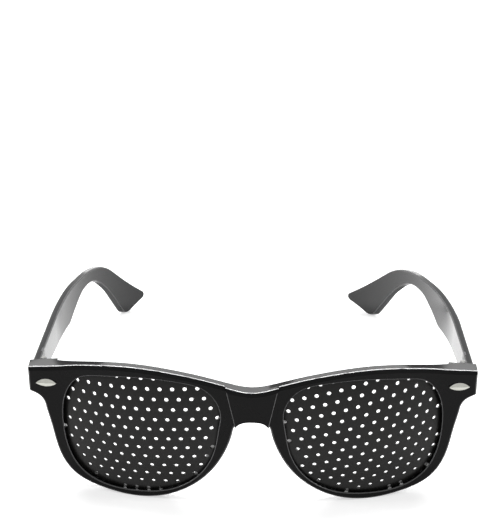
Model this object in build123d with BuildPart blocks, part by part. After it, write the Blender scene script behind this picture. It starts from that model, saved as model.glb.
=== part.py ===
from build123d import *
from math import asin, ceil, cos, degrees, pi, radians, sin, sqrt, tan
import os

# Overall sizes, in millimetres, with the glasses open on a table
overall_width = 143.6
overall_depth = 146.0
front_height = 48.0
half_width = overall_width / 2
cut_overrun = 5.0

# Front moulding: a plate bowed round the brow, with flatter end pieces
face_bow_radius = 194.0
end_piece_length = 14.3
end_piece_sweep = 1.0
end_piece_blend_radius = 30.0
rim_depth = 3.8
end_piece_depth = 5.6
hinge_block_length = 9.0
hinge_block_low_height = 32.0
brow_bevel = 1.1
brow_rounding = 0.4
rim_rounding = 0.5
back_rounding = 0.4
opening_rounding = 0.3
corner_rounding = 0.6

# Outlines of the front, as shares of the half width and of the height
brow_shares = [(0.0, 0.877), (0.111, 0.906), (0.223, 0.948), (0.341, 0.979),
               (0.515, 1.0), (0.696, 0.981), (0.877, 0.944), (1.0, 0.931)]
rim_shares = [(0.0, 0.663), (0.05, 0.65), (0.076, 0.612), (0.088, 0.55), (0.114, 0.431),
              (0.177, 0.265), (0.279, 0.119), (0.397, 0.031), (0.552, 0.0005), (0.682, 0.029),
              (0.805, 0.104), (0.875, 0.26), (0.912, 0.51), (0.932, 0.656)]
rim_split_share = 0.526
outline_tangent_shares = [1, 1]
brow_end_shares = [(1, 0), (1, -0.1)]
rim_end_shares = [(1, 0), (0.15, 1)]
end_piece_foot_shares = [(0.969, 0.737), (1.0, 0.76)]
opening_shares = [(0.143, 0.64), (0.162, 0.799), (0.212, 0.881), (0.315, 0.924), (0.49, 0.937),
                  (0.665, 0.916), (0.77, 0.878), (0.832, 0.76), (0.854, 0.542), (0.838, 0.333),
                  (0.777, 0.154), (0.662, 0.065), (0.515, 0.05), (0.376, 0.085), (0.258, 0.192),
                  (0.175, 0.388)]

outline_points = 32

# Bridge panel, raised between the lenses
bridge_raise = 1.4
bridge_bow_radius = 58.0
bridge_bow_sweep = 15.0
bridge_top_half_width = 8.1
bridge_low_half_width = 5.9
bridge_side_rounding = 0.35

# Nose rests, moulded on the back of the rims
nose_rest_depth = 4.4
nose_rest_root = 0.9
nose_rest_width = 3.2
nose_rest_taper = 0.5
nose_rest_lean = 0.9
nose_rest_rounding = 0.7
nose_rest_shares = [(0.127, 0.575), (0.144, 0.435), (0.184, 0.317)]

# Lenses: domed black sheets in a groove of the rims, built of flat cells round their pinholes
lens_radius = 77.0
lens_thickness = 0.9
lens_seat = 0.7
lens_clearance = 0.05
lens_centre_x = 23.2
lens_setback = 0.4
lens_centre_height = 23.5

# Pinholes: a triangular grid on each dome, turned a little differently on the two sides
pinhole_diameter = 1.5
pinhole_pitch = 4.007
pinhole_sides = 6
pinhole_margin = 0.35
grid_turn_left = radians(13.44)
grid_turn_right = radians(1.78)
grid_start_left = (1.25, -0.528)
grid_start_right = (0.458, 0.757)

# Rivet plates: almond shaped bright trim on the end pieces
rivet_length = 6.6
rivet_height = 2.7
rivet_edge = 0.1
rivet_crest = 0.5
rivet_recess = 0.35
rivet_gap = 0.12
rivet_from_end = 5.7
rivet_centre_height = 39.7

# Temples: flat bars, bowed in towards the head, with a dropped tip
temple_thickness = 2.5
temple_inset = 0.4
temple_joint_gap = 0.3
temple_top_height = 43.4
temple_straight = 40.0
temple_bow_radius = 148.0
temple_bow_sweep = 42.0
temple_rounding = 0.45
temple_top_shares = [(0.0, 1.0), (0.562, 0.885)]
temple_drop_share = 0.795
temple_top_radii = [150.0, 48.0]
temple_low_shares = [(0.734, 0.698), (0.634, 0.73), (0.503, 0.613), (0.1, 0.783), (0.0, 0.816)]
temple_low_radii = [19.0, 14.0, 9.0, 60.0]
tip_end_radius = 2.2
tip_heel_radius = 4.5
tip_top_angle = radians(42.3)
tip_front_angle = radians(55.8)
tip_heel_angle = radians(18.0)

# Hinges: three knuckles and a screw on each side
knuckle_radius = 1.0
knuckle_height = 2.0
knuckle_gap = 0.08
knuckle_clearance = 0.3
hinge_inset = 4.0
hinge_behind = 2.5
hinge_top_height = 43.8
leaf_thickness = 0.8
leaf_clearance = 0.05
front_leaf_reach = 3.6
temple_leaf_height = 4.0
temple_leaf_length = 8.0
strap_half_width = 0.5
screw_radius = 0.5
screw_clearance = 0.05
screw_head_radius = 0.85
screw_head_height = 0.45
screw_slot_width = 0.3
screw_slot_depth = 0.2

# Places that follow from the sizes
face_y = -overall_depth / 2 + bridge_raise
bow_centre_y = face_y + face_bow_radius
end_piece_x = half_width - end_piece_length
hinge_block_x = half_width - hinge_block_length
end_front_y = bow_centre_y - sqrt(face_bow_radius**2 - end_piece_x**2)
rear_bow_radius = face_bow_radius - rim_depth
sweep_slope = end_piece_sweep / end_piece_length
corner_y = end_front_y + end_piece_sweep
joint_y = corner_y + end_piece_depth
rear_end_x = sqrt(rear_bow_radius**2 - (bow_centre_y - joint_y)**2)
side_x = half_width + cut_overrun
temple_start_y = joint_y + temple_joint_gap
temple_end_y = overall_depth / 2
temple_length = temple_end_y - temple_start_y
temple_outer_x = half_width - temple_inset
temple_inner_x = temple_outer_x - temple_thickness
temple_bow_y = temple_start_y + temple_straight
hinge_x = half_width - hinge_inset
hinge_y = joint_y + hinge_behind
knuckle_step = knuckle_height + knuckle_gap
hinge_low_height = hinge_top_height - knuckle_height - 2 * knuckle_step
middle_low_height = hinge_low_height + knuckle_step
upper_low_height = hinge_low_height + 2 * knuckle_step
hinge_height = hinge_top_height - hinge_low_height
front_leaf_x = hinge_x - knuckle_radius
temple_leaf_x = temple_inner_x + leaf_thickness
temple_leaf_y = hinge_y + knuckle_radius + knuckle_clearance
temple_leaf_end_y = temple_leaf_y + temple_leaf_length
temple_leaf_low_height = middle_low_height + knuckle_height / 2 - temple_leaf_height / 2
relief_x = hinge_x + knuckle_radius + knuckle_clearance
lens_centre = Vector(lens_centre_x, face_y + lens_setback + lens_radius, lens_centre_height)
rivet_x = half_width - rivet_from_end
rivet_face_y = end_front_y + sweep_slope * (rivet_x - end_piece_x)
brow_low_height = brow_shares[0][1] * front_height
arch_top_height = rim_shares[0][1] * front_height
foot_height = end_piece_foot_shares[1][1] * front_height
bridge_slope = (bridge_top_half_width - bridge_low_half_width) / (brow_low_height - arch_top_height)
front_plane = Plane.XZ.offset(bridge_raise - face_y)
rest_root_plane = Plane.XZ.offset(nose_rest_root - rim_depth - face_y)
rest_back_plane = Plane.XZ.offset(-nose_rest_depth - rim_depth - face_y)


def front_point(share):
    """A point of the front's outline, from its shares of the half width and height."""
    return (share[0] * half_width, share[1] * front_height)


def temple_point(share):
    """A point of a temple's side profile, from its shares of the length and top height."""
    return (temple_start_y + share[0] * temple_length, share[1] * temple_top_height)


def depth_below_face(edge):
    """How far the middle of an edge lies behind the front's face, on the bow or the end pieces."""
    place = edge @ 0.5
    across = abs(place.X)
    if across < end_piece_x:
        return place.Y - bow_centre_y + sqrt(face_bow_radius**2 - across**2)
    return place.Y - end_front_y - sweep_slope * (across - end_piece_x)


def on_face(edge):
    """Whether an edge lies on the front's face."""
    return abs(depth_below_face(edge)) < rim_rounding


def on_back(edge):
    """Whether an edge lies on the back of the bowed rim."""
    return abs(depth_below_face(edge) - rim_depth) < rim_rounding and abs((edge @ 0.5).X) < rear_end_x


def on_brow(edge):
    """Whether an edge lies along the top of the brow's bevel."""
    return abs(depth_below_face(edge) - brow_bevel) < brow_rounding and (edge @ 0.5).Z > brow_low_height


def below_foot(edge):
    """Whether an edge lies lower than the foot of an end piece."""
    return (edge @ 0.5).Z < foot_height


# Shared sketches: half of the front's outline, and the opening that holds a lens
with BuildSketch(front_plane) as front_outline:
    with BuildLine():
        brow = Spline([front_point(share) for share in brow_shares], tangents=brow_end_shares,
                      tangent_scalars=outline_tangent_shares)
        rim = Spline([front_point(share) for share in rim_shares], tangents=rim_end_shares,
                     tangent_scalars=outline_tangent_shares, mode=Mode.PRIVATE)
        add([rim.trim(0, rim_split_share), rim.trim(rim_split_share, 1)])
        foot = TangentArc(rim @ 1, front_point(end_piece_foot_shares[0]), tangent=rim % 1)
        Polyline(foot @ 1, front_point(end_piece_foot_shares[1]), brow @ 1)
        Line(rim @ 0, brow @ 0)
    make_face()

opening_curve = Spline([front_point(share) for share in opening_shares], periodic=True)


def grown_outline(amount):
    """Points round the opening's outline, moved outwards by an amount."""
    points = []
    for step in range(outline_points):
        inward = (opening_curve % (step / outline_points)).rotate(Axis.Z, -90)
        points.append(opening_curve @ (step / outline_points) - inward * amount)
    return points


with BuildSketch(front_plane) as opening_outline:
    with BuildLine():
        Spline(grown_outline(0), periodic=True)
    make_face()

with BuildSketch(front_plane) as lens_outline:
    with BuildLine():
        Spline(grown_outline(lens_seat), periodic=True)
    make_face()

with BuildSketch(front_plane) as groove_outline:
    with BuildLine():
        Spline(grown_outline(lens_seat + lens_clearance), periodic=True)
    make_face()

with BuildSketch(front_plane) as cell_field:
    with BuildLine():
        Spline(grown_outline(lens_seat + pinhole_pitch), periodic=True)
    make_face()

with BuildSketch(front_plane) as pinhole_field:
    with BuildLine():
        Spline(grown_outline(-pinhole_margin), periodic=True)
    make_face()

# The groove that a lens sits in: a domed slot all round its opening
with BuildPart(mode=Mode.PRIVATE) as lens_groove:
    with BuildSketch(front_plane):
        add(groove_outline.sketch)
    extrude(amount=-overall_depth / 2)
    with Locations(lens_centre):
        Sphere(lens_radius + lens_clearance, mode=Mode.INTERSECT)
        Sphere(lens_radius - lens_thickness - lens_clearance, mode=Mode.SUBTRACT)

# Raised bridge panel, with sides that narrow towards the nose
with BuildPart() as bridge_panel:
    with BuildSketch(Plane.XY.offset(-cut_overrun)):
        with BuildLine():
            panel_bow = CenterArc((0, face_y - bridge_raise + bridge_bow_radius), bridge_bow_radius,
                                  -90, bridge_bow_sweep)
            Polyline(panel_bow @ 1, ((panel_bow @ 1).X, face_y + rim_depth / 2),
                     (0, face_y + rim_depth / 2), panel_bow @ 0)
        make_face()
    extrude(amount=front_height + 2 * cut_overrun)
    with BuildSketch(front_plane):
        with BuildLine():
            high = brow_low_height + cut_overrun
            high_half = bridge_top_half_width + bridge_slope * cut_overrun
            low = arch_top_height - cut_overrun
            low_half = bridge_low_half_width - bridge_slope * cut_overrun
            Polyline((0, low), (low_half, low), (high_half, high), (0, high), close=True)
        make_face()
    extrude(amount=-overall_depth, mode=Mode.INTERSECT)
    with BuildSketch(front_plane):
        add(front_outline.sketch)
    extrude(amount=-overall_depth, mode=Mode.INTERSECT)
    chamfer(bridge_panel.faces().sort_by(Axis.Y)[0].edges().sort_by(Axis.Z)[-1], length=brow_bevel)
    fillet(bridge_panel.faces().sort_by(Axis.Z)[-1].edges().sort_by(Axis.Y)[0], radius=brow_rounding)
    panel_sides = bridge_panel.edges().filter_by(lambda edge: (edge @ 0.5).X > bridge_low_half_width)
    fillet(panel_sides.sort_by(Axis.Y)[0], radius=bridge_side_rounding)

# Nose rest, moulded behind one rim and leaning away from the nose
rest_curve = ThreePointArc(*[front_point(share) for share in nose_rest_shares])
with BuildPart() as nose_rest:
    with BuildSketch(rest_root_plane):
        SlotArc(arc=rest_curve, height=nose_rest_width)
    with BuildSketch(rest_back_plane):
        with Locations((nose_rest_lean, 0)):
            SlotArc(arc=rest_curve, height=nose_rest_width - nose_rest_taper)
    loft()
    fillet(nose_rest.faces().sort_by(Axis.Y)[-1].edges(), radius=nose_rest_rounding)

# Rivet plate: an almond with a crest along its length, set in a recess of the end piece
rivet_plane = Plane(origin=(rivet_x, rivet_face_y, rivet_centre_height), x_dir=(1, sweep_slope, 0),
                    z_dir=(sweep_slope, -1, 0))
with BuildSketch() as rivet_outline:
    with BuildLine():
        upper_edge = ThreePointArc((-rivet_length / 2, 0), (0, rivet_height / 2), (rivet_length / 2, 0))
        ThreePointArc(upper_edge @ 1, (0, -rivet_height / 2), upper_edge @ 0)
    make_face()

with BuildPart() as rivet:
    with BuildSketch(rivet_plane.offset(-rivet_recess)):
        add(rivet_outline.sketch)
    extrude(amount=rivet_recess + rivet_edge + rivet_crest)
    with BuildSketch(Plane(origin=rivet_plane.origin, x_dir=rivet_plane.y_dir, z_dir=rivet_plane.x_dir)):
        with BuildLine():
            Polyline((-rivet_height / 2, -rivet_recess), (-rivet_height / 2, rivet_edge),
                     (0, rivet_edge + rivet_crest), (rivet_height / 2, rivet_edge),
                     (rivet_height / 2, -rivet_recess), close=True)
        make_face()
    extrude(amount=rivet_length, both=True, mode=Mode.INTERSECT)

# Front moulding, built as its left half and mirrored
with BuildPart() as frame_front:
    with BuildSketch(Plane.XY.offset(-cut_overrun)) as front_plan:
        with BuildLine():
            face_arc = CenterArc((0, bow_centre_y), face_bow_radius, -90,
                                 degrees(asin(end_piece_x / face_bow_radius)))
            rear_arc = CenterArc((0, bow_centre_y), rear_bow_radius, -90,
                                 degrees(asin(rear_end_x / rear_bow_radius)))
            Polyline(face_arc @ 1, (side_x, corner_y + sweep_slope * cut_overrun), (side_x, joint_y),
                     rear_arc @ 1)
            Line(face_arc @ 0, rear_arc @ 0)
        make_face()
        fillet(front_plan.vertices().sort_by_distance(face_arc @ 1)[0], radius=end_piece_blend_radius)
    extrude(amount=front_height + 2 * cut_overrun)
    with BuildSketch(Plane.XY.offset(hinge_block_low_height)):
        with BuildLine():
            Polyline((hinge_block_x, joint_y), (hinge_block_x, corner_y), (side_x, corner_y),
                     (side_x, joint_y), close=True)
        make_face()
    extrude(amount=front_height)
    with BuildSketch(front_plane):
        add(front_outline.sketch)
    extrude(amount=-overall_depth, mode=Mode.INTERSECT)
    face_edges = frame_front.edges().filter_by(on_face)
    chamfer(face_edges.filter_by(lambda edge: (edge @ 0.5).Z > brow_low_height), length=brow_bevel)
    fillet(frame_front.edges().filter_by(GeomType.BSPLINE).filter_by(on_brow), radius=brow_rounding)
    fillet(frame_front.edges().filter_by(Axis.Z).sort_by(Axis.X)[-2:].sort_by(Axis.Y)[0],
           radius=corner_rounding)
    outline_edges = frame_front.edges().filter_by(GeomType.BSPLINE)
    fillet(outline_edges.filter_by(on_face).filter_by(below_foot), radius=rim_rounding)
    fillet(frame_front.edges().filter_by(GeomType.BSPLINE).filter_by(on_back), radius=back_rounding)
    with BuildSketch(front_plane):
        add(opening_outline.sketch)
    extrude(amount=-overall_depth, mode=Mode.SUBTRACT)
    fillet(frame_front.edges(Select.LAST).filter_by(on_face), radius=opening_rounding)
    add(lens_groove.part, mode=Mode.SUBTRACT)
    with BuildSketch(rivet_plane):
        add(rivet_outline.sketch)
        offset(amount=rivet_gap)
    extrude(amount=-rivet_recess, mode=Mode.SUBTRACT)
    with BuildSketch(Plane.XY.offset(hinge_low_height - leaf_clearance)):
        with BuildLine():
            slot_low_x = front_leaf_x - leaf_clearance
            slot_high_x = front_leaf_x + leaf_thickness + leaf_clearance
            slot_front_y = joint_y - front_leaf_reach - leaf_clearance
            Polyline((slot_low_x, slot_front_y), (slot_high_x, slot_front_y),
                     (slot_high_x, joint_y + cut_overrun), (slot_low_x, joint_y + cut_overrun), close=True)
        make_face()
    extrude(amount=hinge_height + 2 * leaf_clearance, mode=Mode.SUBTRACT)
    add(bridge_panel.part)
    add(nose_rest.part)
    mirror(about=Plane.YZ)
frame_front.part.label = "frame_front"

# Lenses: domes of flat hexagonal cells, one round each point of a triangular grid
row_step = pinhole_pitch * sqrt(3) / 2
grid_reach = ceil(front_height / row_step)
inner_share = 1 - lens_thickness / lens_radius
neighbour_steps = [(1, 0), (0, 1), (-1, 1), (-1, 0), (0, -1), (1, -1)]
pinhole_corner_radius = pinhole_diameter / 2 / cos(pi / pinhole_sides)


def dome_lean(start, turn, column, row):
    """How far the dome leans aside and up at a grid point, as sines of its angles."""
    along, up = (column + row / 2) * pinhole_pitch, row * row_step
    return (sin((start[0] + along * cos(turn) - up * sin(turn)) / lens_radius),
            sin((start[1] + along * sin(turn) + up * cos(turn)) / lens_radius))


def dome_normal(start, turn, column, row):
    """The dome's outward direction at a grid point."""
    aside, rise = dome_lean(start, turn, column, row)
    return Vector(aside, -sqrt(1 - aside**2 - rise**2), rise)


def dome_cells(start, turn, side):
    """The grid points whose cells cover a lens, and whether each lies within the opening."""
    cells = {}
    covered, open_field = cell_field.face(), pinhole_field.face()
    for row in range(-grid_reach, grid_reach + 1):
        for column in range(-grid_reach - row // 2, grid_reach + 1 - row // 2):
            aside, rise = dome_lean(start, turn, column, row)
            spot = (lens_centre.X + aside * lens_radius * side, lens_centre.Z + rise * lens_radius, 0)
            if covered.is_inside(spot):
                cells[column, row] = open_field.is_inside(spot)
    return cells


def cell_faces(outer_points, hole_points, centre):
    """The outer and inner face of a cell, with the walls of its pinhole."""
    faces = []
    for share in (1, inner_share):
        rims = [[centre + point * share for point in points] for points in (outer_points, hole_points)]
        faces.append(Face(Wire.make_polygon(rims[0]), [Wire.make_polygon(rim) for rim in rims[1:] if rim]))
    for one, other in zip(hole_points, hole_points[1:] + hole_points[:1]):
        faces.append(wall_face(one, other, centre))
    return faces


def wall_face(one, other, centre):
    """A wall between the outer and the inner face of a dome, along one edge."""
    return Face(Wire.make_polygon([centre + one, centre + other, centre + other * inner_share,
                                   centre + one * inner_share]))


def pierced_dome(start, turn, side):
    """A closed dome of flat cells, tangent to the lens sphere, with a pinhole in each open cell."""
    centre = Vector(lens_centre.X * side, lens_centre.Y, lens_centre.Z)
    cells = dome_cells(start, turn, side)
    faces = []
    for (column, row), is_open in cells.items():
        normal = dome_normal(start, turn, column, row)
        ring = [dome_normal(start, turn, column + step[0], row + step[1]) for step in neighbour_steps]
        corners = []
        for one, other in zip(ring[-1:] + ring[:-1], ring):
            crossed = one.cross(other) + other.cross(normal) + normal.cross(one)
            corners.append(crossed * (lens_radius / normal.dot(one.cross(other))))
        mouth = Plane(origin=normal * lens_radius, z_dir=normal)
        angles = [2 * pi * corner / pinhole_sides for corner in range(pinhole_sides)]
        hole = [mouth.from_local_coords(Vector(cos(angle), sin(angle), 0) * pinhole_corner_radius)
                for angle in angles]
        faces += cell_faces(corners, hole if is_open else [], centre)
        for step, one, other in zip(neighbour_steps, corners, corners[1:] + corners[:1]):
            if (column + step[0], row + step[1]) not in cells:
                faces.append(wall_face(one, other, centre))
    return Solid(Shell(faces))


with BuildPart(mode=Mode.PRIVATE) as lens_trim:
    with BuildSketch(front_plane):
        add(lens_outline.sketch)
    extrude(amount=-overall_depth / 2)

with BuildPart() as lens_left:
    add(pierced_dome(grid_start_left, grid_turn_left, 1))
    add(lens_trim.part, mode=Mode.INTERSECT)
lens_left.part.label = "lens_left"

with BuildPart() as lens_right:
    add(pierced_dome(grid_start_right, grid_turn_right, -1))
    add(lens_trim.part.mirror(Plane.YZ), mode=Mode.INTERSECT)
lens_right.part.label = "lens_right"

# Temple: a side profile with a dropped tip, cut to a band that bows in towards the head
half_turn = (tip_front_angle + tip_heel_angle) / 2
heel_low = tip_heel_radius * (1 - cos((tip_front_angle - tip_heel_angle) / 2) / cos(half_turn))
drop_low = temple_point(temple_low_shares[0])
heel_corner = (drop_low[0] + (drop_low[1] - heel_low) / tan(tip_front_angle), heel_low)
end_half_turn = (tip_top_angle + tip_heel_angle) / 2
end_corner_y = temple_end_y - tip_end_radius + tip_end_radius * (
    cos((tip_top_angle - tip_heel_angle) / 2) / sin(end_half_turn))
end_corner = (end_corner_y, heel_low + (end_corner_y - heel_corner[0]) * tan(tip_heel_angle))
drop_height = temple_drop_share * temple_top_height
drop_top = (end_corner_y - (drop_height - end_corner[1]) / tan(tip_top_angle), drop_height)

with BuildPart() as temple_left:
    with BuildSketch(Plane.YZ):
        with BuildLine():
            edge_points = [temple_point(share) for share in temple_top_shares]
            edge_points += [drop_top, end_corner, heel_corner]
            edge_points += [temple_point(share) for share in temple_low_shares]
            profile = FilletPolyline(*edge_points, radius=temple_top_radii + [tip_end_radius,
                                     tip_heel_radius] + temple_low_radii)
            Line(profile @ 1, profile @ 0)
        make_face()
    extrude(amount=half_width + cut_overrun)
    with BuildSketch(Plane.XY.offset(-cut_overrun)):
        with BuildLine():
            bow_centre = (temple_outer_x - temple_bow_radius, temple_bow_y)
            outer_bow = CenterArc(bow_centre, temple_bow_radius, 0, temple_bow_sweep)
            inner_bow = CenterArc(bow_centre, temple_bow_radius - temple_thickness, 0, temple_bow_sweep)
            Line(outer_bow @ 1, inner_bow @ 1)
            Polyline(outer_bow @ 0, (temple_outer_x, temple_start_y - cut_overrun),
                     (temple_inner_x, temple_start_y - cut_overrun), inner_bow @ 0)
        make_face()
    extrude(amount=front_height + 2 * cut_overrun, mode=Mode.INTERSECT)
    sides = temple_left.faces().sort_by(SortBy.AREA)[-4:]
    long_edges = sides.edges().filter_by(lambda edge: abs((edge @ 0).Y - (edge @ 1).Y) > 0)
    fillet(long_edges, radius=temple_rounding)
    relief_box = (relief_x, temple_start_y - cut_overrun, temple_leaf_y)
    leaf_box = (temple_leaf_x + leaf_clearance, hinge_y - strap_half_width - leaf_clearance,
                temple_leaf_end_y + leaf_clearance)
    for low, high, (deep_x, near_y, far_y) in (
            (0, front_height, relief_box),
            (temple_leaf_low_height - leaf_clearance,
             temple_leaf_low_height + temple_leaf_height + leaf_clearance, leaf_box)):
        with BuildSketch(Plane.XY.offset(low)):
            with BuildLine():
                open_x = temple_inner_x - cut_overrun
                Polyline((open_x, near_y), (deep_x, near_y), (deep_x, far_y), (open_x, far_y), close=True)
            make_face()
        extrude(amount=high - low, mode=Mode.SUBTRACT)
temple_left.part.label = "temple_left"

# Front leaf of a hinge: a plate let into the end piece, carrying the two outer knuckles
with BuildPart() as front_hinge:
    knuckle_front_y = hinge_y - knuckle_radius - knuckle_clearance
    with BuildSketch(Plane.XY.offset(hinge_low_height)):
        with BuildLine():
            Polyline((front_leaf_x, joint_y - front_leaf_reach),
                     (front_leaf_x + leaf_thickness, joint_y - front_leaf_reach),
                     (front_leaf_x + leaf_thickness, knuckle_front_y), (front_leaf_x, knuckle_front_y),
                     close=True)
        make_face()
    extrude(amount=hinge_height)
    for knuckle_low_height in (hinge_low_height, upper_low_height):
        with BuildSketch(Plane.XY.offset(knuckle_low_height)):
            with BuildLine():
                Polyline((front_leaf_x, knuckle_front_y), (front_leaf_x + leaf_thickness, knuckle_front_y),
                         (front_leaf_x + leaf_thickness, hinge_y), (front_leaf_x, hinge_y), close=True)
            make_face()
            with Locations((hinge_x, hinge_y)):
                Circle(knuckle_radius)
                Circle(screw_radius + screw_clearance, mode=Mode.SUBTRACT)
        extrude(amount=knuckle_height)
front_hinge.part.label = "front_hinge_left"

# Temple leaf of a hinge: a plate in the temple's inner face, strapped to the middle knuckle
with BuildPart() as temple_hinge:
    with BuildSketch(Plane.XY.offset(temple_leaf_low_height)):
        with BuildLine():
            Polyline((temple_inner_x, temple_leaf_y), (temple_leaf_x, temple_leaf_y),
                     (temple_leaf_x, temple_leaf_end_y), (temple_inner_x, temple_leaf_end_y), close=True)
        make_face()
    extrude(amount=temple_leaf_height)
    with BuildSketch(Plane.XY.offset(middle_low_height)):
        with BuildLine():
            Polyline((hinge_x, hinge_y - strap_half_width), (temple_leaf_x, hinge_y - strap_half_width),
                     (temple_leaf_x, temple_leaf_y), (temple_inner_x, temple_leaf_y),
                     (temple_inner_x, hinge_y + strap_half_width),
                     (hinge_x, hinge_y + strap_half_width), close=True)
        make_face()
        with Locations((hinge_x, hinge_y)):
            Circle(knuckle_radius)
            Circle(screw_radius + screw_clearance, mode=Mode.SUBTRACT)
    extrude(amount=knuckle_height)
temple_hinge.part.label = "temple_hinge_left"

# Hinge screw: a shaft through the three knuckles, with a slotted head on top
with BuildPart() as hinge_screw:
    with BuildSketch(Plane.XY.offset(hinge_low_height)):
        with Locations((hinge_x, hinge_y)):
            Circle(screw_radius)
    extrude(amount=hinge_height)
    with BuildSketch(Plane.XY.offset(hinge_top_height)):
        with Locations((hinge_x, hinge_y)):
            Circle(screw_head_radius)
    extrude(amount=screw_head_height)
    with BuildSketch(Plane.XY.offset(hinge_top_height + screw_head_height)):
        with Locations((hinge_x, hinge_y)):
            Rectangle(2 * screw_head_radius, screw_slot_width)
    extrude(amount=-screw_slot_depth, mode=Mode.SUBTRACT)
hinge_screw.part.label = "hinge_screw_left"
rivet.part.label = "rivet_left"

# The right side mirrors the left
os.makedirs("parts", exist_ok=True)
pieces = [frame_front.part, lens_left.part, lens_right.part]
for piece in (temple_left.part, rivet.part, front_hinge.part, temple_hinge.part, hinge_screw.part):
    twin = piece.mirror(Plane.YZ)
    twin.label = piece.label.replace("left", "right")
    pieces += [piece, twin]
for piece in pieces:
    export_step(piece, "parts/" + piece.label + ".step")
    print(piece.label, round(piece.volume, 1), "mm3")
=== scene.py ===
import bmesh
import bpy
from math import asin, ceil, cos, radians, sin, sqrt
from mathutils import Matrix, Vector


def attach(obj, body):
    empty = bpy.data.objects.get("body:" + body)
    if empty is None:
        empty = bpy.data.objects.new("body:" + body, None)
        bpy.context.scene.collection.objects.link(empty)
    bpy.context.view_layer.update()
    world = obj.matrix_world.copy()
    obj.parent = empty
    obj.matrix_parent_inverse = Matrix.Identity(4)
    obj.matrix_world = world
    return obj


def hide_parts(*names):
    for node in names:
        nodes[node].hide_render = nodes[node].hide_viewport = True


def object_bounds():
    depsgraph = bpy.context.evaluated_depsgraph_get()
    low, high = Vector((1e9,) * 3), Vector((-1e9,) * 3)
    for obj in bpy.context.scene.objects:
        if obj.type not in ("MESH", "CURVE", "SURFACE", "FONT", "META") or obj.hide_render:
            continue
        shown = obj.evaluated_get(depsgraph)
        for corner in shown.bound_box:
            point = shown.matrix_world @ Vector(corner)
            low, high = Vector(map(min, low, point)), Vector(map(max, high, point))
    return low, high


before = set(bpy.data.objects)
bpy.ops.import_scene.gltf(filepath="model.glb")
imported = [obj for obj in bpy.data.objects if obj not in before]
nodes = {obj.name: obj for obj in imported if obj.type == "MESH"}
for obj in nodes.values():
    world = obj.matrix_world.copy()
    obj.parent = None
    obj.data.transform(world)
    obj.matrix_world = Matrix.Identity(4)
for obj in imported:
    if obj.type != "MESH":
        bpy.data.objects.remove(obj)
cad_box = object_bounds()
mm = 0.001

# Front moulding: one injection moulding in black plastic, polished to a deep gloss.
# It comes out of the tool as it is, with faint flow ripples and a few hairline scuffs.

cloud_scale = 60
ripple_scale = 220
scuff_turn = (0.3, 0.9, 0.5)
scuff_stretch = (60, 900, 60)
scuff_start = 0.55
scuff_full = 0.8
edge_turn = radians(4)
edge_width = 0.4 * mm
# Edge faces above this height that face up and to the front get a near-white painted highlight along the
# brow
brow_start = 0.85 * cad_box[1].z
brow_least_rise = 0.2
brow_least_front = 0.1


def gloss_plastic(name, dark, light, shine, smooth, scuffed, ripple):
    """Black plastic: slight clouding of colour, scuffs in the gloss and flow ripples."""
    material = bpy.data.materials.new(name)
    material.use_nodes = True
    tree = material.node_tree
    shader = tree.nodes["Principled BSDF"]
    shader.inputs["Specular IOR Level"].default_value = shine
    place = tree.nodes.new("ShaderNodeTexCoord")
    cloud = tree.nodes.new("ShaderNodeTexNoise")
    cloud.inputs["Scale"].default_value = cloud_scale
    cloud.inputs["Detail"].default_value = 4
    colour = tree.nodes.new("ShaderNodeValToRGB")
    colour.color_ramp.elements[0].color = (*dark, 1)
    colour.color_ramp.elements[1].color = (*light, 1)
    stretch = tree.nodes.new("ShaderNodeMapping")
    stretch.inputs["Rotation"].default_value = scuff_turn
    stretch.inputs["Scale"].default_value = scuff_stretch
    scuff = tree.nodes.new("ShaderNodeTexNoise")
    scuff.inputs["Scale"].default_value = 4
    scuff.inputs["Detail"].default_value = 6
    scuff.inputs["Roughness"].default_value = 0.7
    gloss = tree.nodes.new("ShaderNodeMapRange")
    gloss.inputs["From Min"].default_value = scuff_start
    gloss.inputs["From Max"].default_value = scuff_full
    gloss.inputs["To Min"].default_value = smooth
    gloss.inputs["To Max"].default_value = scuffed
    wave = tree.nodes.new("ShaderNodeTexNoise")
    wave.inputs["Scale"].default_value = ripple_scale
    wave.inputs["Detail"].default_value = 1
    bump = tree.nodes.new("ShaderNodeBump")
    bump.inputs["Strength"].default_value = 1
    bump.inputs["Distance"].default_value = ripple
    tree.links.new(place.outputs["Object"], cloud.inputs["Vector"])
    tree.links.new(cloud.outputs["Fac"], colour.inputs["Fac"])
    tree.links.new(colour.outputs["Color"], shader.inputs["Base Color"])
    tree.links.new(place.outputs["Object"], stretch.inputs["Vector"])
    tree.links.new(stretch.outputs["Vector"], scuff.inputs["Vector"])
    tree.links.new(scuff.outputs["Fac"], gloss.inputs["Value"])
    tree.links.new(gloss.outputs["Result"], shader.inputs["Roughness"])
    tree.links.new(place.outputs["Object"], wave.inputs["Vector"])
    tree.links.new(wave.outputs["Fac"], bump.inputs["Height"])
    tree.links.new(bump.outputs["Normal"], shader.inputs["Normal"])
    return material


def dress(piece, *finishes):
    """Gives a piece its finishes, the first of them all over."""
    piece.data.materials.clear()
    for finish in finishes:
        piece.data.materials.append(finish)


def paint_edge_highlights(piece, brow_height):
    """Gives rounded edges, narrow faces whose shading turns, the second finish, a painted edge highlight,
    or above the brow height, where they face up and to the front, the third, a brighter painted highlight."""
    shading = piece.data.corner_normals
    for face in piece.data.polygons:
        ends = [piece.data.vertices[end].co for end in face.vertices]
        length = max((one - other).length for one in ends for other in ends)
        turn = max(shading[one].vector.angle(shading[other].vector, 0)
                   for one in face.loop_indices for other in face.loop_indices)
        # Rounded edges get a lighter grey colour: a painted highlight along the edges
        if turn > edge_turn and 2 * face.area < edge_width * length:
            # Brow edges facing up and to the front, where the top lamp falls, get the near-white painted
            # highlight
            lit = face.normal.z > brow_least_rise and face.normal.y < -brow_least_front
            face.material_index = 2 if lit and face.center.z > brow_height else 1


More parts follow.
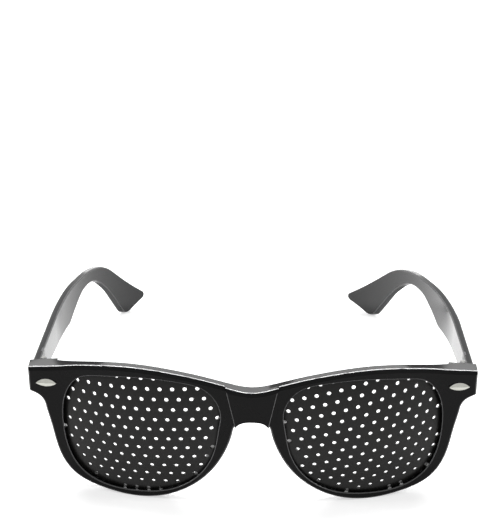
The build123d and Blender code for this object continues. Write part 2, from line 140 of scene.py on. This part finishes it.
front_finish = gloss_plastic("polished_front_plastic",
                             dark=(0.0015, 0.0015, 0.0017), light=(0.004, 0.004, 0.0043),
                             shine=0.1, smooth=0.04, scuffed=0.1, ripple=0.002 * mm)
# Lighter grey on the rounded edges: a painted highlight along every edge, not the plastic's own colour
painted_edge_highlight_finish = gloss_plastic("painted_edge_highlight_plastic",
                            dark=(0.03, 0.03, 0.031), light=(0.07, 0.07, 0.072),
                            shine=0.5, smooth=0.25, scuffed=0.4, ripple=0.001 * mm)
# Near-white on the brow edge: a painted highlight, not the plastic's own colour
painted_brow_highlight_finish = gloss_plastic("painted_brow_highlight_plastic",
                            dark=(0.6, 0.6, 0.605), light=(0.8, 0.8, 0.805),
                            shine=1.0, smooth=0.15, scuffed=0.3, ripple=0.001 * mm)
dress(nodes["frame_front"], front_finish, painted_edge_highlight_finish, painted_brow_highlight_finish)
paint_edge_highlights(nodes["frame_front"], brow_start)

# Pinhole lenses: thin domed sheets of matt black plastic, punched with a triangular grid
# of round holes and sprung into the grooves of the front. The grid sits a little
# differently on the two sides.

half_width = -cad_box[0].x
front_height = cad_box[1].z
bridge_raise = 1.4 * mm
lens_setback = 0.4 * mm
lens_centre_x = 23.2 * mm
lens_centre_height = 23.5 * mm
dome_radius = 77.0 * mm
dome_centre_y = cad_box[0].y + bridge_raise + lens_setback + dome_radius
dome_centre = Vector((lens_centre_x, dome_centre_y, lens_centre_height))
sheet_thickness = 0.7 * mm
hole_radius = 0.66 * mm
hole_pitch = 4.007 * mm
hole_sides = 24
hole_margin = 0.35 * mm
hole_chamfer = 0.1 * mm
seat_depth = 0.6 * mm
outline_steps = 12
flat_tolerance = 0.01 * mm
least_corner_angle = 1
least_facing = 0.9
opening_shares = [(0.143, 0.64), (0.162, 0.799), (0.212, 0.881), (0.315, 0.924), (0.49, 0.937),
                  (0.665, 0.916), (0.77, 0.878), (0.832, 0.76), (0.854, 0.542), (0.838, 0.333),
                  (0.777, 0.154), (0.662, 0.065), (0.515, 0.05), (0.376, 0.085), (0.258, 0.192),
                  (0.175, 0.388)]
grids = {"left": (1, radians(13.44), (-0.699 * mm, -0.994 * mm)),
         "right": (-1, radians(1.78), (0.458 * mm, 0.757 * mm))}


def smooth_loop(points):
    """Points along a closed smooth curve through the given points."""
    curve = bpy.data.curves.new("outline", "CURVE")
    curve.dimensions = "2D"
    curve.resolution_u = outline_steps
    spline = curve.splines.new("BEZIER")
    spline.bezier_points.add(len(points) - 1)
    spline.use_cyclic_u = True
    for knot, (across, up) in zip(spline.bezier_points, points):
        knot.co = (across, up, 0)
        knot.handle_left_type = "AUTO"
        knot.handle_right_type = "AUTO"
    holder = bpy.data.objects.new("outline", curve)
    line = bpy.data.meshes.new_from_object(holder)
    places = [vertex.co.xy.copy() for vertex in line.vertices]
    bpy.data.objects.remove(holder)
    bpy.data.curves.remove(curve)
    bpy.data.meshes.remove(line)
    return places


def within(place, loop, margin):
    """Whether a place lies inside a closed loop, at least a margin away from it."""
    crossings = 0
    for start, end in zip(loop, loop[1:] + loop[:1]):
        if (start.y > place.y) != (end.y > place.y):
            crossings += place.x < start.x + (place.y - start.y) * (end.x - start.x) / (end.y - start.y)
    return crossings % 2 == 1 and min((place - point).length for point in loop) > margin


def lens_sheet(side, turn, start):
    """A sheet with its pinholes, laid out flat, ready to be bent to the dome."""
    opening = [Vector((dome_radius * asin((x * half_width - dome_centre.x) / dome_radius) * side,
                       dome_radius * asin((z * front_height - dome_centre.z) / dome_radius)))
               for x, z in opening_shares]
    loop = smooth_loop(opening)
    edge = smooth_loop([place * (1 + seat_depth / place.length) for place in opening])
    sheet = bmesh.new()
    rim = [sheet.verts.new((place.x, place.y, 0)) for place in edge]
    for one, other in zip(rim, rim[1:] + rim[:1]):
        sheet.edges.new((one, other))
    reach = ceil(half_width / hole_pitch)
    for row in range(-reach, reach + 1):
        for column in range(-reach, reach + 1):
            along, up = (column + row / 2) * hole_pitch, row * hole_pitch * sqrt(3) / 2
            place = Vector((start[0] + along * cos(turn) - up * sin(turn),
                            start[1] + along * sin(turn) + up * cos(turn)))
            if within(place, loop, hole_margin):
                bmesh.ops.create_circle(sheet, radius=hole_radius, segments=hole_sides,
                                        matrix=Matrix.Translation((place.x, place.y, 0)))
    bmesh.ops.triangle_fill(sheet, use_beauty=True, use_dissolve=False, edges=sheet.edges, normal=(0, 0, 1))
    bmesh.ops.recalc_face_normals(sheet, faces=sheet.faces)
    if sheet.faces[:][0].normal.z < 0:
        bmesh.ops.reverse_faces(sheet, faces=sheet.faces)
    bmesh.ops.solidify(sheet, geom=sheet.faces, thickness=sheet_thickness)
    brinks = [line for line in sheet.edges
              if max(abs(end.co.z) for end in line.verts) < flat_tolerance
              and line.calc_face_angle(0) > least_corner_angle and line.verts[0] not in rim]
    bmesh.ops.bevel(sheet, geom=brinks, affect="EDGES", offset=hole_chamfer, offset_type="OFFSET",
                    segments=1, profile=0.5, material=-1, clamp_overlap=False)
    return sheet


def bend_to_dome(sheet, side):
    """Wraps the flat sheet round its dome and returns every corner's shading normal. The holes'
    walls get the second finish, a lighter grey that is painted light on them."""
    centre = Vector((dome_centre.x * side, dome_centre.y, dome_centre.z))
    for vertex in sheet.verts:
        lean = vertex.co / dome_radius
        out = Vector((sin(lean.x), -sqrt(1 - sin(lean.x)**2 - sin(lean.y)**2), sin(lean.y)))
        vertex.co = centre + out * (dome_radius + vertex.co.z)
    sheet.normal_update()
    normals = []
    for face in sheet.faces:
        face.smooth = True
        for corner in face.loops:
            out = (corner.vert.co - centre).normalized()
            facing = face.normal.dot(out)
            domed = abs(facing) > least_facing
            normals.append(out * (1 if facing > 0 else -1) if domed else face.normal.copy())
        face.material_index = 0 if domed else 1
    return normals


lens_finish = gloss_plastic("matt_lens_plastic",
                            dark=(0.004, 0.0038, 0.0036), light=(0.009, 0.0086, 0.0082),
                            shine=0.2, smooth=0.34, scuffed=0.42, ripple=0.01 * mm)
# Lighter grey on the hole walls: painted light on the walls, not the plastic's own colour
painted_hole_wall_light_finish = gloss_plastic("painted_hole_wall_light_plastic",
                               dark=(0.05, 0.05, 0.05), light=(0.11, 0.11, 0.11),
                               shine=0.5, smooth=0.25, scuffed=0.4, ripple=0.002 * mm)
for side_name, (side, turn, start) in grids.items():
    sheet = lens_sheet(side, turn, start)
    normals = bend_to_dome(sheet, side)
    data = bpy.data.meshes.new("pinhole_lens_" + side_name)
    sheet.to_mesh(data)
    sheet.free()
    data.normals_split_custom_set(normals)
    lens = bpy.data.objects.new("pinhole_lens_" + side_name, data)
    bpy.context.scene.collection.objects.link(lens)
    dress(lens, lens_finish, painted_hole_wall_light_finish)
    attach(lens, "front")
    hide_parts("lens_" + side_name)

# Temples: moulded in the same black plastic as the front, flat bars with a dropped tip.
# They are bent over the ear while warm, which lowers the arch, slims the tip and leaves both
# leaning a little to one side. Their faces keep a softer polish than the front.

merge_distance = 0.001 * mm
# A reach is a pair of places along the depth, and a tip line is a depth, a height and a slope
arch_drop = 2.6 * mm
arch_reach = (-50 * mm, 0, 24 * mm, 54 * mm)
tip_slimming = 4.4 * mm
tip_reach = (40 * mm, 50 * mm)
end_shortening = 4 * mm
end_lift = 1.4 * mm
end_reach = (46 * mm, 73 * mm)
lean = 5 * mm
spread = 2.6 * mm
lean_reach = (-30 * mm, 73 * mm)
tip_low_line = (46 * mm, 19.5 * mm, -1.467)
tip_top_line = (46 * mm, 29.7 * mm, -0.871)


def ease(value, start, end):
    """A smooth step from 0 at the start to 1 at the end."""
    share = min(max((value - start) / (end - start), 0), 1)
    return share * share * (3 - 2 * share)


def bent_place(place):
    """Where a point of a temple lies once its arch is lowered, its tip slimmed and shortened,
    and the temple spread and leaning to the side."""
    low, top = (back + (place.z - height) / slope
                for back, height, slope in (tip_low_line, tip_top_line))
    share = min(max((place.y - low) / (top - low), 0), 1)
    drop = ease(place.y, *arch_reach[:2]) * (1 - ease(place.y, *arch_reach[2:]))
    end = share * ease(place.y, *end_reach)
    slim = (1 - share) * ease(place.y, *tip_reach)
    aside = max((place.y - lean_reach[0]) / (lean_reach[1] - lean_reach[0]), 0)
    shift = (spread if place.x > 0 else -spread) - lean
    return Vector((place.x + shift * aside * aside,
                   place.y + tip_slimming * slim - end_shortening * end,
                   place.z - arch_drop * drop + end_lift * end))


def bent_temple(node, name):
    """A bent copy of a temple's moulding, which keeps the moulding's shading."""
    bar = bmesh.new()
    bar.from_mesh(node.data)
    shading = bar.loops.layers.float_vector.new("shading")
    for face in bar.faces:
        for corner in face.loops:
            corner[shading] = node.data.corner_normals[corner.index].vector
    bmesh.ops.remove_doubles(bar, verts=bar.verts, dist=merge_distance)
    for vertex in bar.verts:
        vertex.co = bent_place(vertex.co)
    data = bpy.data.meshes.new(name)
    bar.to_mesh(data)
    bar.free()
    normals = [corner.vector.copy() for corner in data.attributes["shading"].data]
    data.attributes.remove(data.attributes["shading"])
    data.normals_split_custom_set(normals)
    piece = bpy.data.objects.new(name, data)
    bpy.context.scene.collection.objects.link(piece)
    return piece


temple_finish = gloss_plastic("polished_temple_plastic",
                              dark=(0.003, 0.003, 0.0034), light=(0.007, 0.007, 0.0078),
                              shine=0.24, smooth=0.12, scuffed=0.2, ripple=0.003 * mm)
for side_name in grids:
    temple = bent_temple(nodes["temple_" + side_name], "bent_temple_" + side_name)
    # The temples' rounded edges get the same painted edge highlight
    dress(temple, temple_finish, painted_edge_highlight_finish)
    paint_edge_highlights(temple, front_height)
    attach(temple, side_name + "_temple")
    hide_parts("temple_" + side_name)

# Rivet plates, hinges and screws: small stamped metal parts. The plates are polished bright,
# the hinge leaves are dull steel and the screw heads are turned and slotted.


def metal(name, dark, light, smooth, rough, grain):
    """Bare metal with fine handling marks in its polish."""
    material = bpy.data.materials.new(name)
    material.use_nodes = True
    tree = material.node_tree
    shader = tree.nodes["Principled BSDF"]
    shader.inputs["Metallic"].default_value = 1
    place = tree.nodes.new("ShaderNodeTexCoord")
    marks = tree.nodes.new("ShaderNodeTexNoise")
    marks.inputs["Scale"].default_value = grain
    marks.inputs["Detail"].default_value = 5
    colour = tree.nodes.new("ShaderNodeValToRGB")
    colour.color_ramp.elements[0].color = (*dark, 1)
    colour.color_ramp.elements[1].color = (*light, 1)
    gloss = tree.nodes.new("ShaderNodeMapRange")
    gloss.inputs["To Min"].default_value = smooth
    gloss.inputs["To Max"].default_value = rough
    tree.links.new(place.outputs["Object"], marks.inputs["Vector"])
    tree.links.new(marks.outputs["Fac"], colour.inputs["Fac"])
    tree.links.new(colour.outputs["Color"], shader.inputs["Base Color"])
    tree.links.new(marks.outputs["Fac"], gloss.inputs["Value"])
    tree.links.new(gloss.outputs["Result"], shader.inputs["Roughness"])
    return material


rivet_finish = metal("bright_rivet_metal", dark=(0.4, 0.4, 0.37), light=(0.52, 0.52, 0.47),
                     smooth=0.1, rough=0.22, grain=900)
hinge_finish = metal("dull_hinge_steel", dark=(0.03, 0.03, 0.032), light=(0.07, 0.07, 0.072),
                     smooth=0.25, rough=0.45, grain=1500)
screw_finish = metal("turned_screw_steel", dark=(0.1, 0.1, 0.1), light=(0.2, 0.2, 0.19),
                     smooth=0.18, rough=0.3, grain=2000)
for side_name in grids:
    dress(nodes["rivet_" + side_name], rivet_finish)
    dress(nodes["front_hinge_" + side_name], hinge_finish)
    dress(nodes["temple_hinge_" + side_name], hinge_finish)
    dress(nodes["hinge_screw_" + side_name], screw_finish)

# Floor: a plain pale sheet that the glasses stand on. It glows, so that it looks white to the
# camera and in reflections, and keeps the glasses' shadow.

floor_size = 3.0
floor_shade = 0.82
floor_roughness = 0.9
floor_hidden_glow = 0.1
floor_seen_glow = 0.55
floor_mesh = bmesh.new()
bmesh.ops.create_grid(floor_mesh, x_segments=1, y_segments=1, size=floor_size / 2)
floor_data = bpy.data.meshes.new("floor")
floor_mesh.to_mesh(floor_data)
floor_mesh.free()
floor = bpy.data.objects.new("floor", floor_data)
bpy.context.scene.collection.objects.link(floor)
floor_finish = bpy.data.materials.new("pale_floor")
floor_finish.use_nodes = True
floor_shader = floor_finish.node_tree.nodes["Principled BSDF"]
floor_shader.inputs["Base Color"].default_value = (floor_shade, floor_shade, floor_shade, 1)
floor_shader.inputs["Roughness"].default_value = floor_roughness
floor_shader.inputs["Emission Color"].default_value = (1, 1, 1, 1)
floor_tree = floor_finish.node_tree
floor_rays = floor_tree.nodes.new("ShaderNodeLightPath")
floor_seen = floor_tree.nodes.new("ShaderNodeMath")
floor_seen.operation = "MAXIMUM"
floor_glow = floor_tree.nodes.new("ShaderNodeMapRange")
floor_glow.inputs["To Min"].default_value = floor_hidden_glow
floor_glow.inputs["To Max"].default_value = floor_seen_glow
floor_tree.links.new(floor_rays.outputs["Is Camera Ray"], floor_seen.inputs[0])
floor_tree.links.new(floor_rays.outputs["Is Glossy Ray"], floor_seen.inputs[1])
floor_tree.links.new(floor_seen.outputs["Value"], floor_glow.inputs["Value"])
floor_tree.links.new(floor_glow.outputs["Result"], floor_shader.inputs["Emission Strength"])
dress(floor, floor_finish)

# Light: a white room, one soft box above, one behind, and a strip on each side. The room is
# white where it is seen, and lights the glasses less than that.

room_hidden_level = 0.35
room_seen_level = 1.0
world = bpy.data.worlds.new("white_room")
bpy.context.scene.world = world
world.use_nodes = True
room = world.node_tree
room_light = room.nodes["Background"]
room_light.inputs["Color"].default_value = (1, 1, 1, 1)
rays = room.nodes.new("ShaderNodeLightPath")
seen = room.nodes.new("ShaderNodeMath")
seen.operation = "ADD"
seen_through = room.nodes.new("ShaderNodeMath")
seen_through.operation = "ADD"
level = room.nodes.new("ShaderNodeMapRange")
level.inputs["To Min"].default_value = room_hidden_level
level.inputs["To Max"].default_value = room_seen_level
room.links.new(rays.outputs["Is Camera Ray"], seen.inputs[0])
room.links.new(rays.outputs["Is Glossy Ray"], seen.inputs[1])
room.links.new(seen.outputs["Value"], seen_through.inputs[0])
room.links.new(rays.outputs["Is Transmission Ray"], seen_through.inputs[1])
room.links.new(seen_through.outputs["Value"], level.inputs["Value"])
room.links.new(level.outputs["Result"], room_light.inputs["Strength"])


def soft_box(name, place, target, width, depth, power):
    """A rectangular lamp at a place, turned to a target."""
    lamp = bpy.data.lights.new(name, "AREA")
    lamp.shape = "RECTANGLE"
    lamp.size = width
    lamp.size_y = depth
    lamp.energy = power
    holder = bpy.data.objects.new(name, lamp)
    holder.location = place
    holder.rotation_euler = (Vector(target) - Vector(place)).to_track_quat("-Z", "Y").to_euler()
    bpy.context.scene.collection.objects.link(holder)


soft_box("top_box", (0, 0.17, 0.82), (0, -0.06, 0.04), width=1.0, depth=0.1, power=6)
soft_box("rear_box", (0, 0.7, 0.55), (0, -0.07, 0.045), width=1.1, depth=0.2, power=3.6)
soft_box("left_box", (0.8, -0.1, 0.45), (0, 0, 0.03), width=0.1, depth=0.3, power=2)
soft_box("right_box", (-0.8, -0.1, 0.45), (0, 0, 0.03), width=0.1, depth=0.3, power=2)

# Camera: from the front and a little above, as the photograph was taken

view = bpy.data.cameras.new("camera")
view.sensor_fit = "HORIZONTAL"
view.sensor_width = 36
view.lens = 108.04
view.shift_x = -0.0049
view.shift_y = 0.2381
view.clip_start = 0.01
camera = bpy.data.objects.new("camera", view)
camera.location = (0.00688, -0.47852, 0.2788)
camera.rotation_euler = (radians(60.1832), radians(-0.0942), radians(0.9985))
bpy.context.scene.collection.objects.link(camera)
bpy.context.scene.camera = camera
bpy.context.scene.view_settings.view_transform = "Standard"
